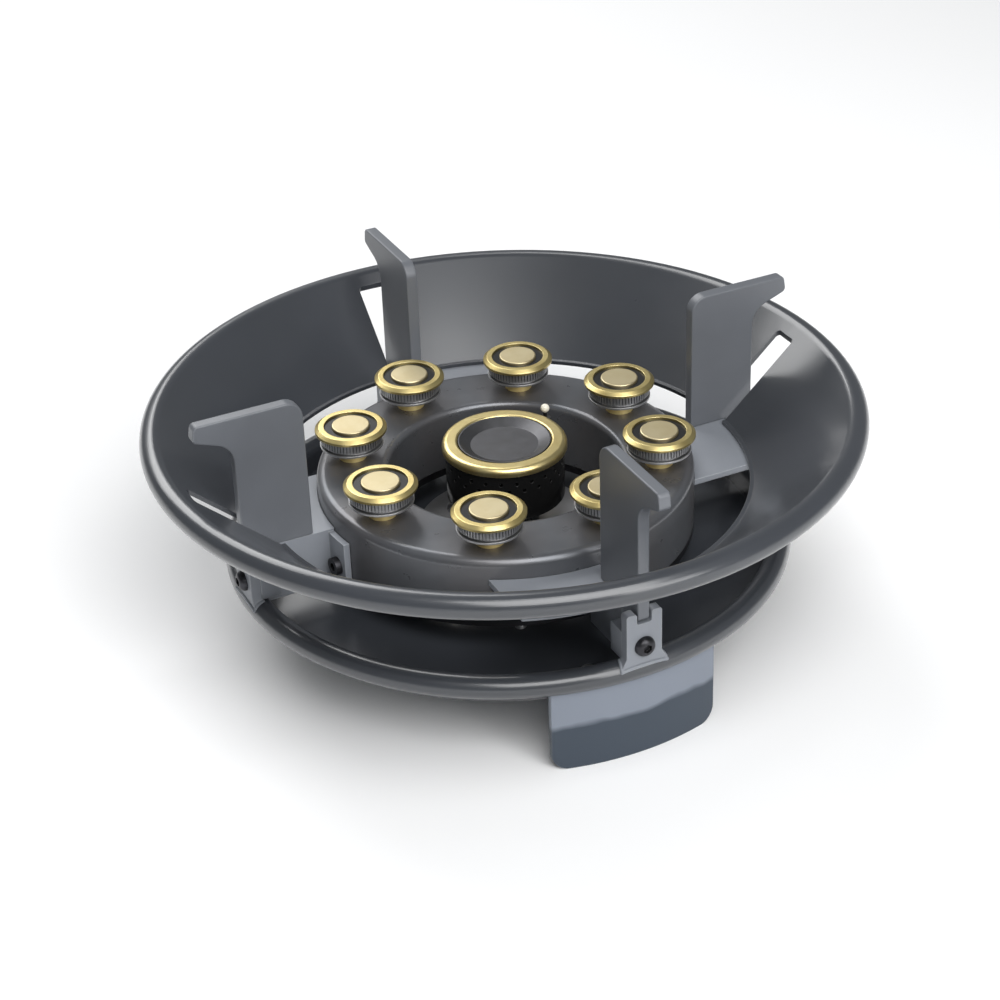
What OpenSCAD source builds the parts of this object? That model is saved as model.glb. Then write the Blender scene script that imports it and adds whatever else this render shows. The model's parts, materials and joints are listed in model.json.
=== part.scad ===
// Built-in gas hob: a ring of eight brass jets and a centre burner in a flared wind shield,
// with four lift-off pan supports. It drops into a worktop and stands on two foot tabs.
// Lengths are in millimetres and angles in degrees. The burner axis is the Z axis, +Z is up,
// and Z = 0 is the plane that the foot tabs stand on. Supports 1 to 4 lie on +X, +Y, -X and -Y.

/* [Pan] */
// Height of the pan floor above the ends of the foot tabs
floor_h = 37; // [36.5:0.5:60]
// Distance from the burner axis to the middle of the rolled rim
roll_r = 134; // [132:0.5:150]
// Radius of the rolled rim's tube
roll_tube = 5.65; // [4.5:0.05:6]
// Height of the rolled rim's middle above the underside of the floor
roll_rise = 11; // [9:0.5:20]
// Thickness of the pan's sheet
pan_sheet = 1.5; // [1:0.1:2]
// Radius of the air hole in the pan floor
floor_hole_r = 50; // [40:1:55]
// Height of the turned-up lip round the air hole
floor_lip = 3; // [1:0.5:6]

/* [Foot tabs] */
// Width of a foot tab
tab_w = 85; // [60:1:100]
// Thickness of a foot tab
tab_t = 2.5; // [1.5:0.1:4]
// Radius of a foot tab's lower corners
tab_corner = 8; // [2:1:20]
// Gap between the top of a foot tab and the rolled rim
tab_gap = 0.3; // [0.1:0.1:2]
// Width of the flange that carries the pan floor
flange_w = 50; // [40:1:60]
// Length of that flange, inwards from the tab
flange_l = 29; // [20:1:40]
// Distance between the two rivets of a flange
rivet_spacing = 32; // [20:1:36]
// Radius of a rivet's shank
rivet_r = 2; // [1.5:0.1:3]
// Radius of a rivet's heads
rivet_head_r = 4; // [3.5:0.1:5]
// Height of a rivet's heads
rivet_head_h = 1.4; // [0.8:0.1:2]

/* [Support brackets] */
// Width of a bracket
bracket_w = 18; // [16:0.5:24]
// Thickness of a bracket
bracket_t = 5; // [3:0.5:7]
// How far a bracket's back face lies inside the middle of the rolled rim
bracket_set = 0.5; // [0:0.1:2]
// Spread of the weld at a bracket's foot, to each side
weld_spread = 3; // [1:0.5:5]
// Height of the bracket bolt above the middle of the rolled rim
bolt_rise = 13.5; // [13:0.5:16]
// Height of the notch floor above the bracket bolt
notch_rise = 12.2; // [10:0.1:12.4]
// Depth of the notch
notch_depth = 5.7; // [4:0.1:8]
// Gap on each side of a support's leg in the notch
notch_gap = 0.8; // [0.4:0.1:1.5]
// Rounding of the notch's corners
notch_edge = 1.3; // [0.5:0.1:2]
// Thread radius of the bracket bolt
bolt_r = 3; // [2.5:0.5:4]
// Radius of the bracket bolt's button head
bolt_head_r = 5; // [4.5:0.1:6.5]
// Height of the bracket bolt's button head
bolt_head_h = 3.3; // [2:0.1:4]
// Radius of the socket in the bracket bolt's head
bolt_socket_r = 2.3; // [1.5:0.1:3]
// Depth of the socket in the bracket bolt's head
bolt_socket_h = 1.8; // [1:0.1:1.9]

/* [Carrier arms] */
// Height of the top of the lugs above the middle of the rolled rim
lug_rise = 30; // [28:0.5:34]
// Thickness of a lug
lug_t = 3; // [2:0.5:4]
// How far a lug reaches to the side of its web
lug_side = 48; // [30:1:55]
// Distance from the middle of the rolled rim inwards to the lugs' outer edge
lug_inset = 11.5; // [11:0.5:12.5]
// Thickness of an arm's web
web_t = 5; // [3:0.5:8]
// Height of an arm's web under the lug
web_h = 27; // [24:0.5:30]
// Radial depth of the block that the bracket bolt screws into
block_depth = 10; // [8:0.5:10.5]
// Height of the block above and below the bracket bolt
block_half_h = 7.5; // [6:0.1:7.8]
// Thickness of the foot that is screwed to the burner body
post_t = 3; // [2:0.5:4]
// Distance from the web's far side to the edge of that foot
post_w = 19.5; // [17:0.5:24]
// Angle from the web to the foot's screw, round the burner axis
post_screw_az = 6.2; // [5.8:0.1:7]
// Depth of that screw below the top of the lugs
post_screw_drop = 16; // [12:0.5:18]
// Thread radius of the foot's screw
post_screw_r = 2.5; // [2:0.5:3]
// Radius of that screw's head
post_head_r = 4.5; // [4:0.1:5]
// Height of that screw's head
post_head_h = 3; // [2:0.1:4]

/* [Burner body] */
// Outer radius of the burner body
body_r = 92; // [88:0.5:94]
// Width of the burner body's ring
body_ring_w = 35; // [34:0.5:37]
// Height of the burner body's top above the lugs
body_rise = 10; // [4:0.5:12]
// Height of the burner body
body_h = 32; // [30:0.5:34]
// Thickness of the burner body's walls
body_wall = 5; // [4:0.5:6]
// Thickness of the burner body's top
body_top_t = 6; // [4:0.5:8]
// Radius of the rounded outer edge of the top
body_edge = 4; // [1:0.5:6]
// Radius of the rounded inner edge of the top
bore_edge = 3; // [1:0.5:5]
// Thickness of the base plate
plate_t = 4; // [3:0.5:6]
// Number of base plate screws
plate_screws = 8; // [6:1:12]
// Thread radius of a base plate screw
plate_screw_r = 1.5; // [1:0.1:2]
// Radius of a base plate screw's head
plate_head_r = 2.6; // [2:0.1:3]
// Height of a base plate screw's head
plate_head_h = 1.8; // [1:0.1:2.5]
// Length of a base plate screw's thread inside the wall
plate_screw_l = 10; // [6:1:16]

/* [Jets] */
// Number of jets
jet_count = 8; // [6:1:9]
// Distance from the burner body's edge inwards to the circle that the jets stand on
jet_inset = 17; // [17:0.5:18]
// Angle of the first jet from +X
jet_az = 13.3; // [10:0.1:20]
// Thread radius of a jet's stem
jet_thread_r = 5; // [4:0.5:6]
// Length of the stem's thread below the body's top
jet_thread_l = 8; // [6:0.5:12]
// Radius of the stem's collar
jet_collar_r = 6.8; // [6.5:0.1:8]
// Height of the stem's collar
jet_collar_h = 3; // [2:0.5:5]
// Radius of the top of the stem's cone
jet_cone_r = 12; // [10:0.5:13]
// Height of the stem's cone
jet_cone_h = 4.4; // [3:0.2:6]
// Radius of the stem's gas bore
jet_bore_r = 2.5; // [1.5:0.1:3]
// Radius of the spigot that carries the head
jet_spigot_r = 6; // [5:0.5:7]
// Height of that spigot
jet_spigot_h = 3; // [2:0.5:3.5]
// Radius of the head's lower flange
jet_flange_r = 15.5; // [14:0.1:16]
// Thickness of the head's lower flange
jet_flange_t = 1; // [0.6:0.1:1.5]
// Radius of the flame groove
jet_groove_r = 13.5; // [12:0.1:14]
// Height of the flame groove
jet_groove_h = 1.2; // [0.8:0.1:2]
// Radius of the slotted head
jet_head_r = 15; // [14:0.1:16]
// Height of the slotted head
jet_head_h = 5.4; // [5:0.1:7]
// Number of flame slots in a head
jet_slots = 60; // [24:1:80]
// Width of a flame slot
jet_slot_w = 0.6; // [0.3:0.1:0.9]
// Depth of a flame slot
jet_slot_d = 0.9; // [0.4:0.1:1.5]
// Length of a flame slot
jet_slot_l = 4.3; // [2:0.1:4.8]
// Thickness of the roof over a head's gas space
jet_roof_t = 1.5; // [1:0.1:3]
// Outer radius of the brass ring
jet_ring_r = 17.6; // [16.5:0.1:17.8]
// Height of the brass ring's outer edge
jet_ring_edge = 1.2; // [0.6:0.1:2]
// Height of the brass ring
jet_ring_h = 2.6; // [2.1:0.1:3.5]
// Width of the brass ring's outer chamfer
jet_ring_chamfer = 1.9; // [0.5:0.1:3]
// Outer radius of the black port ring
jet_port_r = 13.1; // [12:0.1:13.4]
// Height of the black port ring
jet_port_h = 1.6; // [1:0.1:2.5]
// Radius of the brass button
jet_button_r = 9.3; // [8:0.1:10]
// Height of the brass button
jet_button_h = 3; // [2:0.1:4]
// Rounding of the brass button's edge
jet_button_edge = 0.6; // [0.2:0.1:1.5]
// Radius of the button's pin
jet_pin_r = 3; // [2:0.1:4]

/* [Centre burner] */
// Outer radius of the pot
pot_r = 29; // [27:0.5:30]
// Thickness of the pot's wall and floor
pot_wall = 2; // [1.5:0.1:3]
// Height of the pot's rim above the burner body
pot_rise = 7.2; // [5:0.1:10]
// Depth of the pot
pot_depth = 25.2; // [20:0.1:30]
// Number of flame holes in a row
port_count = 24; // [12:1:30]
// Radius of a flame hole
port_r = 1; // [0.5:0.1:1.3]
// Depth of the upper row below the pot's rim
port_drop = 5; // [4.2:0.1:7]
// Distance between the two rows
port_pitch = 4; // [3:0.1:6]
// Wall of the pot's socket round the mixing tube
socket_wall = 4; // [2:0.1:5]
// Depth that the mixing tube enters the socket
socket_grip = 10; // [6:0.5:14]

/* [Cap] */
// Outer radius of the brass cap ring
cap_r = 30.5; // [30.2:0.1:34]
// Radial width of the brass cap ring
cap_ring_w = 7.7; // [6:0.1:9]
// Height of the cap ring
cap_ring_h = 4.3; // [3:0.1:6]
// Rounding of the cap ring's outer edge
cap_edge = 2.6; // [1:0.1:2.8]
// Rounding of the cap ring's inner edge
cap_inner_edge = 1.2; // [0.5:0.1:1.5]
// Gap between the cap's spigot and the pot
cap_gap = 0.3; // [0.2:0.05:0.6]
// Depth of the cap's spigot
cap_spigot_h = 2.6; // [1:0.1:3]
// Wall of the cap's spigot
cap_spigot_wall = 2.2; // [1:0.1:3]
// Width of the ledge that the disc lies on
cap_ledge = 1.4; // [0.8:0.1:2]
// Height of that ledge
cap_ledge_h = 1.2; // [0.8:0.1:2]
// Width of the disc's sloped border
dish_slope_w = 6; // [3:0.1:9]
// Depth of the dish in the disc
dish_depth = 2.6; // [1:0.1:2.6]

/* [Mixing tubes] */
// Outer radius of a mixing tube
tube_r = 12; // [10:0.5:12.5]
// Wall of a mixing tube
tube_wall = 2; // [1.5:0.1:3]
// Depth of the tubes' axes below the bridge
tube_drop = 29; // [28:0.5:32]
// Bend radius of a tube's elbow
bend_r = 16; // [14:0.5:18]
// Distance between the two tubes
tube_spacing = 40; // [36:0.5:44]
// Distance from the burner axis to the tubes' ends
bell_x = 105; // [100:0.5:108]
// Outer radius of the bell that takes in air
bell_r = 14; // [13.5:0.1:14.4]
// Wall of the bell
bell_wall = 1.5; // [1:0.1:2]
// Length of the bell between its collars
bell_l = 16; // [12:0.5:20]
// Thickness of the bell's end wall
bell_end_t = 3; // [2:0.5:4]
// Width of the bell's inner collar
bell_collar_w = 2; // [1:0.5:3]
// Length of an air window
window_l = 10; // [6:0.5:10]
// Width of an air window
window_w = 8; // [5:0.5:9]
// Wall of an air shutter
shutter_wall = 1.4; // [1:0.1:1.6]
// Running gap between a shutter and its bell
shutter_gap = 0.08; // [0.05:0.01:0.1]
// Gap at each end of a shutter
shutter_end_gap = 0.4; // [0.3:0.1:1]
// Length of a shutter's thumb tab beyond the sleeve
thumb_l = 4; // [2:0.5:4.5]
// Thickness of a shutter's thumb tab
thumb_t = 3; // [2:0.5:5]
// Thickness of the flange under the base plate
foot_flange_t = 4; // [3:0.5:5]
// Distance between the two screws of that flange
foot_flange_spacing = 40; // [36:1:46]

/* [Bridge] */
// Thickness of the bridge
bridge_t = 3; // [2:0.5:4]
// Width of the bridge's strap
bridge_w = 20; // [16:1:24]
// Radius of the bridge's middle
bridge_r = 44; // [42:0.5:48]
// Distance from the burner bore to the bridge's screws
bridge_inset = 13; // [10:0.5:16]
// Distance between the two screws at each end of the bridge
bridge_screw_spacing = 10; // [8:0.5:11]
// Radius of an air hole in the bridge
bridge_hole_r = 7; // [4:0.5:7.5]
// Distance from the burner axis to the bridge's air holes
bridge_hole_at = 28; // [26:0.5:32]
// Thread radius of the screws under the base plate
under_screw_r = 2; // [1.5:0.1:2.5]
// Radius of those screws' heads
under_head_r = 3.6; // [3:0.1:4.5]
// Height of those screws' heads
under_head_h = 2.6; // [1.5:0.1:3]
// Radius of the rounded end of the strap and the ears
ear_r = 6.5; // [5:0.5:8]

/* [Gas line] */
// Thread radius of an injector
injector_r = 5; // [4:0.5:6]
// Radius of an injector's collar
injector_collar_r = 6.8; // [6:0.1:7]
// Length of an injector's collar
injector_collar_l = 5; // [3:0.5:8]
// Radius of an injector's nozzle
nozzle_r = 2.5; // [2:0.1:4]
// Length of an injector's nozzle
nozzle_l = 6; // [3:0.5:9]
// Radius of an injector's gas bore
injector_bore_r = 0.8; // [0.4:0.1:1.5]
// Side of the square manifold bar
bar_side = 14; // [13:0.5:18]
// Length of the manifold bar beyond an injector's axis
bar_over = 12; // [8:0.5:20]
// Radius of the manifold's gas channel
channel_r = 4; // [2:0.5:4.5]
// Radius of the gas ports behind the injectors
manifold_port_r = 1.8; // [1:0.1:3]
// Depth that an injector screws into the manifold
injector_grip = 4; // [3:0.5:6]
// Length of the plug in the gas channel
plug_l = 6; // [4:0.5:7]
// Radius of the plug's head
plug_head_r = 6; // [5:0.5:6.5]
// Height of the plug's head
plug_head_h = 2.5; // [1:0.5:4]
// Thread radius of the gas inlet
inlet_r = 10.48; // [6:0.01:12]
// Thread length of the gas inlet
inlet_l = 14; // [10:0.5:20]
// Radius of the gas inlet's collar
inlet_collar_r = 13; // [12:0.5:15]
// Length of the gas inlet's collar
inlet_collar_l = 6; // [4:0.5:10]
// Radius of the gas inlet's bore
inlet_bore_r = 3.6; // [2:0.1:5]
// Thread radius of the gas inlet in the manifold
inlet_root_r = 5.2; // [5:0.1:6]
// Thread length of the gas inlet in the manifold
inlet_root_l = 6; // [4:0.5:6.5]

/* [Ignition] */
// Distance from the burner axis to the electrode and the thermocouple
spark_at = 36; // [35:0.5:40]
// Angle of the electrode from +X
spark_az = 29.5; // [25:0.5:35]
// Angle of the thermocouple from +X
probe_az = 60; // [55:0.5:65]
// Radius of the electrode's insulator
insulator_r = 2.8; // [2:0.1:3.2]
// Length of the insulator above the bridge
insulator_up = 42; // [30:0.5:43]
// Length of the insulator below the bridge
insulator_down = 8; // [4:0.5:9]
// Radius of the insulator's collar
insulator_collar_r = 4.6; // [4:0.1:5.5]
// Height of the insulator's collar
insulator_collar_h = 6; // [3:0.5:10]
// Radius of the electrode's wire
wire_r = 1; // [0.5:0.1:1.2]
// Radius of the ball on the electrode's tip
ball_r = 2.2; // [1.6:0.1:2.5]
// Height of the ball's middle above the insulator
ball_rise = 5.3; // [4:0.1:8]
// Length of the electrode's terminal below the insulator
terminal_l = 6; // [3:0.5:10]
// Radius of the thermocouple
probe_r = 1.6; // [1:0.1:2]
// Length of the thermocouple above the bridge
probe_up = 38; // [30:0.5:40]
// Length of the thermocouple below the bridge
probe_down = 10; // [4:0.5:16]
// Radius of the thermocouple's nut
probe_nut_r = 4; // [3:0.1:5]
// Height of the thermocouple's nut
probe_nut_h = 4; // [2:0.5:6]

/* [Wind shield] */
// Thickness of the shield's sheet
shield_sheet = 2; // [1.5:0.1:2.5]
// Distance from the lugs' outer edge inwards to the shield's inner face at its foot
shield_inset = 1.5; // [1:0.5:2]
// Half the width of the ring that the shield stands on
shield_ring_w = 2; // [1.5:0.1:2.5]
// Distance from the shield's foot outwards to the middle of the rolled lip
shield_flare = 47.5; // [45:0.5:54]
// Height of the middle of the rolled lip above the lugs
lip_rise = 36.5; // [30:0.5:42]
// Radius of the rolled lip
lip_tube = 6; // [4:0.5:7]
// Angle to which the lip curls, measured below the horizontal
lip_curl = 110; // [60:1:130]
// Width of a slot for a pan support
slot_w = 14; // [12:0.5:20]
// Distance from the middle of the rolled lip inwards to a slot's outer end
slot_margin = 8.5; // [7.5:0.5:10]
// Rounding of a slot's outer corners
slot_corner = 2; // [0.5:0.5:5]

/* [Pan supports] */
// Thickness of a support
support_t = 6; // [4:0.5:8]
// Height of the supports' top above the lugs
support_h = 72; // [60:0.5:90]
// Rounding of a support's inner top corner
support_corner = 8; // [2:0.5:12]
// Distance from a bracket's front face inwards to a support's outer edge
support_inset = 0.5; // [0.1:0.1:3]
// Distance from the middle of the rolled lip inwards to the tip of a support's prong
prong_inset = 11.5; // [10.5:0.5:16]
// Thickness of a prong at its tip
prong_t = 8; // [5:0.5:12]
// Thickness of a prong at its root
prong_root_t = 15; // [10:0.5:20]
// Radius of the fillet under a prong's root
prong_fillet = 11; // [2:0.5:14]
// Rounding of the prong's tip
tip_edge = 2.5; // [1:0.5:3.5]
// Clearance between a support's leg and what it hangs past
leg_gap = 0.5; // [0.3:0.1:0.5]

/* [Hidden] */
// Smoothness of round shapes
$fn = 96;
// How far a cut runs past the face that it opens, or a form into the one that it joins
overrun = 1;
// Gap round a thread in its tapped hole
thread_gap = 0.05;
// Gap round a screw in a plain hole
hole_gap = 0.3;
// Gap between fixed pieces that lie against a curved face
seat_gap = 0.2;
// Steps in a rounded corner
arc_steps = 6;
// Steps in the shield's rolled lip
lip_steps = 36;
// Sides of a nut, of a collar for a spanner and of a socket for a key
hex_sides = 6;
// Share of a flange's length at which its rivets stand, from the tab
rivet_share = 0.6;
// Share of the bracket bolt's head height that its edge is rounded by
bolt_dome_share = 0.9;
// Share of a small screw head's radius and height that its socket takes
socket_share = 0.5;
// Share of the way from the burner body to the lugs' outer edge at which a support begins
support_start_share = 0.36;
// Angles of the bridge's air holes
bridge_hole_az = [120, 240, 300];
// Number of pan supports, and the angle between them
supports = 4;
support_step = 360 / supports;

roll_z = floor_h + roll_rise;
floor_z = floor_h + pan_sheet;
pan_in_r = roll_r - roll_tube;
pan_out_r = pan_in_r + pan_sheet;
tab_r = roll_r - tab_t / 2;
tab_h = roll_z - roll_tube - tab_gap;
rivet_y = tab_r - rivet_share * flange_l;

bolt_z = roll_z + bolt_rise;
notch_z = bolt_z + notch_rise;
bracket_top = notch_z + notch_depth;
bracket_back = roll_r - bracket_set;
bracket_front = bracket_back + bracket_t;
notch_w = support_t + 2 * notch_gap;

lug_r = roll_r - lug_inset;
lug_z = roll_z + lug_rise;
web_top = lug_z - lug_t;
web_z = web_top - web_h;
block_r = bracket_back - block_depth;
block_z = bolt_z - block_half_h;
block_top = bolt_z + block_half_h;
post_in_r = body_r + seat_gap;
post_out_r = post_in_r + post_t;
post_screw_z = lug_z - post_screw_drop;

body_bore_r = body_r - body_ring_w;
body_top = lug_z + body_rise;
body_z = body_top - body_h;
plate_z = body_z - plate_t;
plate_screw_at = body_r - body_wall / 2;

jet_circle_r = body_r - jet_inset;
jet_stem_top = body_top + jet_collar_h + jet_cone_h;
jet_groove_z = jet_stem_top + jet_flange_t;
jet_head_z = jet_groove_z + jet_groove_h;
jet_top = jet_head_z + jet_head_h;
jet_chamber_top = jet_top - jet_roof_t;

bridge_z = plate_z - bridge_t;
tube_z = bridge_z - tube_drop;
tube_bore_r = tube_r - tube_wall;
outer_x = -sqrt(pow((body_r + body_bore_r) / 2, 2) - pow(tube_spacing, 2));
outer_az = atan2(tube_spacing, outer_x);
bell_x0 = bell_x - bell_end_t - bell_l;
collar_r = bell_r + shutter_gap + shutter_wall;
window_x = bell_x0 + (bell_l - window_l) / 2;

pot_top = body_top + pot_rise;
pot_z = pot_top - pot_depth;
socket_top = plate_z + socket_grip;
socket_r = tube_r + seat_gap + socket_wall;

cap_in_r = cap_r - cap_ring_w;
cap_spigot_r = pot_r - pot_wall - cap_gap;
disc_r = cap_in_r - seat_gap;
ledge_top = pot_top + cap_ledge_h;
disc_top = pot_top + cap_ring_h - seat_gap;
dish_z = disc_top - dish_depth;

bar_x = bell_x + injector_collar_l;
bar_z = tube_z - bar_side / 2;
inlet_x = bar_x + bar_side;
inlet_y = tube_spacing / 2;

bridge_end = body_bore_r + bridge_inset;

shield_foot_r = lug_r - shield_inset;
lip_r = shield_foot_r + shield_flare;
shield_z = lug_z + shield_sheet;
lip_z = lug_z + lip_rise;
lip_dz = lip_z - shield_z;
lip_away = norm([shield_flare, lip_dz]);
shield_slope = atan2(lip_dz, shield_flare) + asin(lip_tube / lip_away);
slot_r = lip_r - slot_margin;

support_top = lug_z + support_h;
leg_z = notch_z + leg_gap;
support_in_r = body_r + support_start_share * (lug_r - body_r);
support_foot_r = lug_r + leg_gap;
support_out_r = bracket_front - support_inset;
prong_r = lip_r - prong_inset;
prong_root_z = support_top - prong_root_t;

// Point at a radius and an angle
function polar(r, a) = r * [cos(a), sin(a)];

// Points of an arc about c, from the angle a0 to a1
function arc(c, r, a0, a1) = [for (i = [0:lip_steps]) c + polar(r, a0 + (a1 - a0) * i / lip_steps)];

// Points of the arc that rounds the corner p1 between p0 and p2
function corner_arc(p0, p1, p2, r) =
    let (u = (p0 - p1) / norm(p0 - p1))
    let (v = (p2 - p1) / norm(p2 - p1))
    let (half = acos(u * v) / 2)
    let (c = p1 + (u + v) / norm(u + v) * r / sin(half))
    let (a = p1 + u * r / tan(half) - c)
    let (b = p1 + v * r / tan(half) - c)
    [for (i = [0:arc_steps]) let (w = a + (b - a) * i / arc_steps) c + w / norm(w) * r];

// Outline with a corner radius for each point
function rounded(pts, radii) =
    let (n = len(pts))
    [for (i = [0:n - 1]) each radii[i] > 0
        ? corner_arc(pts[(i + n - 1) % n], pts[i], pts[(i + 1) % n], radii[i])
        : [pts[i]]];

// Ring between two radii, standing on z
module ring(r_in, r_out, z, h) {
    translate([0, 0, z])
        difference() {
            cylinder(r = r_out, h = h);
            translate([0, 0, -overrun]) cylinder(r = r_in, h = h + 2 * overrun);
        }
}

// Upright cylinder at a place
module post(x, y, z, r, h) {
    translate([x, y, z]) cylinder(r = r, h = h);
}

// Cylinder that points along +X
module rod(x, r, l) {
    translate([x, 0, 0]) rotate([0, 90, 0]) cylinder(r = r, h = l);
}

// Flat section that rounds off the top right corner at (x, z)
module corner_off(x, z, r) {
    translate([x - r, z - r])
        difference() {
            square(r + overrun);
            circle(r);
        }
}

// Flat section of a slab with both upper edges rounded
module slab_section(x0, x1, z0, z1, r_left, r_right) {
    difference() {
        translate([x0, z0]) square([x1 - x0, z1 - z0]);
        corner_off(x1, z1, r_right);
        translate([x0, 0]) mirror([1, 0]) corner_off(0, z1, r_left);
    }
}

// Children at each support
module each_support() {
    for (k = [0:supports - 1]) rotate(k * support_step) children();
}

// Children at each jet
module each_jet() {
    for (k = [0:jet_count - 1]) jet_place(k) children();
}

// Children at one jet
module jet_place(k) {
    rotate(jet_az + k * 360 / jet_count) translate([jet_circle_r, 0, 0]) children();
}

// Children on the side of the front and of the rear foot tab
module tab_side(k) {
    rotate(180 * k) children();
}

// Places of the rivets on one side
module rivet_places() {
    for (side = [-1, 1]) translate([side * rivet_spacing / 2, -rivet_y, 0]) children();
}

// Section of the rolled rim, with its mouth open towards the wall
module roll_section() {
    difference() {
        translate([roll_r, roll_z]) circle(r = roll_tube);
        translate([roll_r, roll_z]) circle(r = roll_tube - pan_sheet);
        translate([pan_out_r, roll_z - roll_tube - overrun])
            square([roll_r - pan_out_r, roll_tube + overrun]);
    }
}

module pan() {
    color("#4b4d50")
        difference() {
            rotate_extrude() {
                roll_section();
                translate([pan_in_r, floor_h]) square([pan_sheet, roll_rise]);
                translate([floor_hole_r, floor_h]) square([pan_out_r - floor_hole_r, pan_sheet]);
                translate([floor_hole_r, floor_h]) square([pan_sheet, pan_sheet + floor_lip]);
            }
            post(outer_x, tube_spacing, floor_h - overrun, tube_r + pan_sheet, pan_sheet + 2 * overrun);
            for (k = [0, 1])
                tab_side(k) rivet_places()
                    post(0, 0, floor_h - overrun, rivet_r + thread_gap, pan_sheet + 2 * overrun);
        }
}

// Foot tab on the -Y side
module foot_tab() {
    plate = [[-tab_w / 2, 0], [tab_w / 2, 0], [tab_w / 2, tab_h], [-tab_w / 2, tab_h]];
    difference() {
        union() {
            intersection() {
                ring(tab_r, tab_r + tab_t, 0, tab_h);
                translate([0, -tab_w, 0])
                    rotate([90, 0, 0])
                        linear_extrude(tab_r)
                            polygon(rounded(plate, [tab_corner, tab_corner, 0, 0]));
            }
            intersection() {
                ring(tab_r - flange_l, tab_r + tab_t / 2, floor_h - tab_t, tab_t);
                translate([-flange_w / 2, -roll_r, 0]) cube([flange_w, roll_r, floor_h]);
            }
        }
        rivet_places() post(0, 0, 0, rivet_r + thread_gap, floor_h + overrun);
    }
}

module foot_tab_front() {
    color("#6f747c") foot_tab();
}

module foot_tab_rear() {
    color("#6f747c") tab_side(1) foot_tab();
}

module tab_rivets() {
    color("#a9acb0")
        for (k = [0, 1])
            tab_side(k) rivet_places() {
                post(0, 0, floor_h - tab_t - rivet_head_h, rivet_head_r, rivet_head_h);
                post(0, 0, floor_h - tab_t - rivet_head_h, rivet_r, tab_t + pan_sheet + 2 * rivet_head_h);
                post(0, 0, floor_z, rivet_head_r, rivet_head_h);
            }
}

// Bracket that is welded to the rolled rim and holds a support's leg
module support_bracket(k) {
    half = bracket_w / 2;
    notch = notch_w / 2;
    foot_z = roll_z + roll_tube / 2;
    weld_z = roll_z + roll_tube + weld_spread;
    outline = [
        [-half - weld_spread, foot_z], [half + weld_spread, foot_z],
        [half, weld_z], [half, bracket_top], [notch, bracket_top], [notch, notch_z],
        [-notch, notch_z], [-notch, bracket_top], [-half, bracket_top], [-half, weld_z]
    ];
    edges = [0, 0, 0, notch_edge, notch_edge, notch_edge, notch_edge, notch_edge, notch_edge, 0];
    color("#8b8f96")
        rotate((k - 1) * support_step)
            difference() {
                translate([bracket_back, 0, 0])
                    rotate([90, 0, 90])
                        linear_extrude(bracket_t)
                            polygon(rounded(outline, edges));
                rotate_extrude() translate([roll_r, roll_z]) circle(r = roll_tube + seat_gap / 2);
                translate([0, 0, bolt_z])
                    rod(bracket_back - overrun, bolt_r + hole_gap, bracket_t + 2 * overrun);
            }
}

// Arm that carries the lug, from the burner body to the bracket
module carrier_arm(k) {
    clear_r = pan_in_r - leg_gap;
    web = [
        [post_in_r, web_z], [clear_r, web_z], [clear_r, block_z], [bracket_back, block_z],
        [bracket_back, block_top], [lug_r, block_top], [lug_r, web_top + lug_t / 2],
        [post_in_r, web_top + lug_t / 2]
    ];
    color("#8d9097")
        rotate((k - 1) * support_step)
            difference() {
                union() {
                    intersection() {
                        ring(post_in_r, lug_r, web_top, lug_t);
                        translate([0, -lug_side, web_top]) cube([lug_r, lug_side + web_t / 2, lug_t]);
                    }
                    difference() {
                        translate([0, web_t / 2, 0])
                            rotate([90, 0, 0])
                                linear_extrude(web_t)
                                    polygon(web);
                        post(0, 0, 0, post_in_r, lug_z);
                    }
                    translate([block_r, -bracket_w / 2, block_z])
                        cube([block_depth, bracket_w, 2 * block_half_h]);
                    intersection() {
                        ring(post_in_r, post_out_r, plate_z, web_top + lug_t / 2 - plate_z);
                        translate([0, -web_t / 2, plate_z]) cube([post_out_r, post_w, lug_z - plate_z]);
                    }
                }
                translate([0, 0, bolt_z])
                    rod(block_r - overrun, bolt_r + thread_gap, block_depth + 2 * overrun);
                rotate(post_screw_az) translate([0, 0, post_screw_z])
                    rod(body_r - overrun, post_screw_r + hole_gap, post_t + 2 * overrun);
            }
}

// Button-head bolts that hold the arms to the brackets
module bracket_bolts() {
    color("#3c3d40")
        each_support()
            translate([0, 0, bolt_z])
                difference() {
                    union() {
                        rod(block_r + bolt_r, bolt_r, bracket_front - block_r - bolt_r);
                        translate([bracket_front, 0, 0])
                            rotate([0, 90, 0])
                                rotate_extrude()
                                    difference() {
                                        square([bolt_head_r, bolt_head_h]);
                                        corner_off(bolt_head_r, bolt_head_h, bolt_head_h * bolt_dome_share);
                                    }
                    }
                    rod(bracket_front + bolt_head_h - bolt_socket_h, bolt_socket_r, bolt_head_h,
                        $fn = hex_sides);
                }
}

// Socket screw that points along +Z, with its head just below Z = 0
module socket_screw(thread_r, thread_l, head_r, head_h) {
    difference() {
        union() {
            post(0, 0, -head_h, head_r, head_h);
            post(0, 0, -head_h, thread_r, head_h + thread_l);
        }
        post(0, 0, -head_h - overrun, socket_share * head_r, overrun + socket_share * head_h,
            $fn = hex_sides);
    }
}

// Screws that hold the arms' feet to the burner body
module arm_screws() {
    thread_l = post_out_r - body_r + body_wall;
    color("#55575a")
        each_support()
            rotate(post_screw_az)
                translate([post_out_r, 0, post_screw_z])
                    rotate([0, -90, 0]) socket_screw(post_screw_r, thread_l, post_head_r, post_head_h);
}

// Places of the base plate screws
module plate_screw_places() {
    for (k = [0:plate_screws - 1])
        rotate((k + 0.5) * 360 / plate_screws) translate([plate_screw_at, 0, 0]) children();
}

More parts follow.
